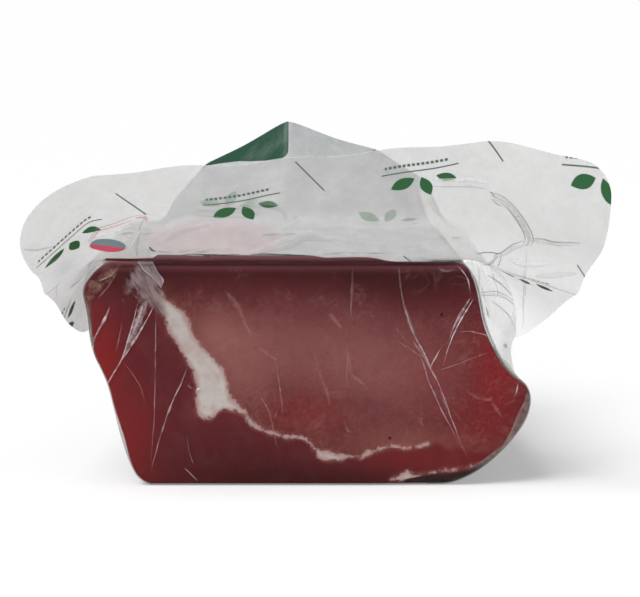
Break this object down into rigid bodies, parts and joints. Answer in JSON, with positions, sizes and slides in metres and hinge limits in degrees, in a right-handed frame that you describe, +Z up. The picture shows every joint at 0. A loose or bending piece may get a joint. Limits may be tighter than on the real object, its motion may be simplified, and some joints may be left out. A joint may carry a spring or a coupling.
{
  "type": "vacuum pack of smoked pork loin",
  "caption": "Thick cut of smoked pork loin in a tight clear pocket, shut by a milky printed lid film whose free flange curls up and droops at the sides.",
  "frame": {"origin": "middle of the flat base that the pack rests on", "axes": "+X to the right across the pack seen from its cut face, +Y from the cut face that shows to the one behind, +Z up from the base to the lid"},
  "size_m": [0.1435, 0.1387, 0.0891],
  "materials": {
    "meat_in_pocket": "deep red smoked meat with pale fat seams under a tight, creased, glossy clear film",
    "lid_film": "thin milky translucent film with green print, smooth with soft creases"
  },
  "bodies": {
    "root": {"loin": "meat_in_pocket", "lid_film": "lid_film"}
  },
  "joints": []
}
